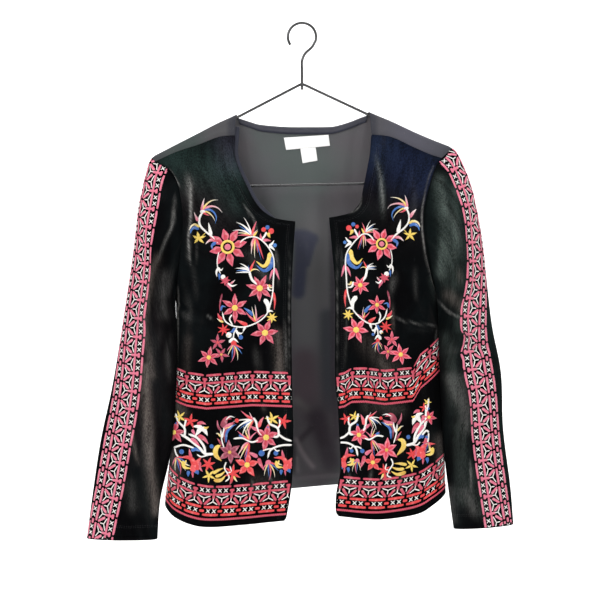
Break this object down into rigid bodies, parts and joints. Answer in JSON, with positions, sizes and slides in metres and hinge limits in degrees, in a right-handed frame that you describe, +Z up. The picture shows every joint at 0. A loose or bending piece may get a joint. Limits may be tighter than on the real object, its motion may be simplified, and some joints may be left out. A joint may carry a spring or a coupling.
{
  "type": "embroidered velvet jacket on a wire hanger",
  "caption": "Cropped open-front velvet jacket with a round neck, long sleeves and embroidered bands, hanging on a black wire hanger.",
  "frame": {"origin": "inside of the hook's top, where a rail carries the hanger", "axes": "+Z up, the fronts face -Y, +X is the viewer's right"},
  "size_m": [0.573, 0.0998, 0.6964],
  "materials": {
    "velvet": "black crushed velvet with a soft sheen and coloured thread embroidery",
    "knit": "matte charcoal fine knit",
    "tape": "dark matte facing tape",
    "label": "blank white satin label",
    "wire": "semi-gloss black coating"
  },
  "bodies": {
    "root": {"back": "knit", "front_right": "velvet", "front_left": "velvet", "sleeve_right": "velvet", "sleeve_left": "velvet", "facing_back_neck": "tape", "facing_right": "tape", "label_main": "label", "label_size": "label", "hanger_frame": "wire", "hanger_hook": "wire"}
  },
  "joints": []
}
